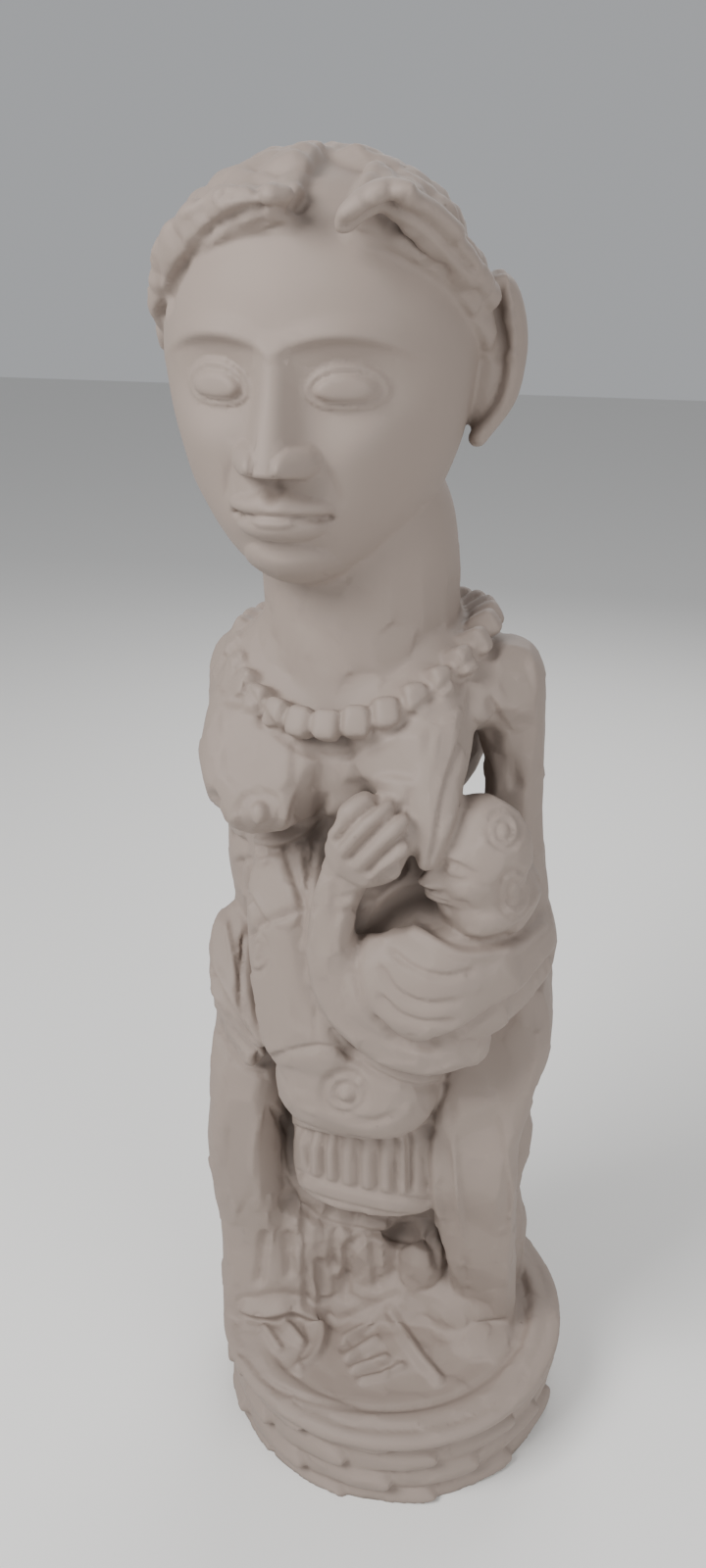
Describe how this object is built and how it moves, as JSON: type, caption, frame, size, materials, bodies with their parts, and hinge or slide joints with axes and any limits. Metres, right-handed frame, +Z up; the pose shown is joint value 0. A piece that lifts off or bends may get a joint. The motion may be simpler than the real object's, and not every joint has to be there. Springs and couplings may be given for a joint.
{
  "type": "carved wooden statue",
  "caption": "Standing mother holding a nursing infant, with a block necklace and pleated apron, carved with its round base from one log.",
  "frame": {"origin": "centre of the flat underside of the round base", "axes": "+Z up through the head, -Y the way the mother faces, +X towards her left arm"},
  "size_m": [0.1343, 0.1331, 0.4439],
  "materials": {
    "carved_wood": "dark stained wood with a worn grey-blue bloom on the high parts and ochre in the cuts"
  },
  "bodies": {
    "root": {"mother_and_child": "carved_wood"}
  },
  "joints": []
}
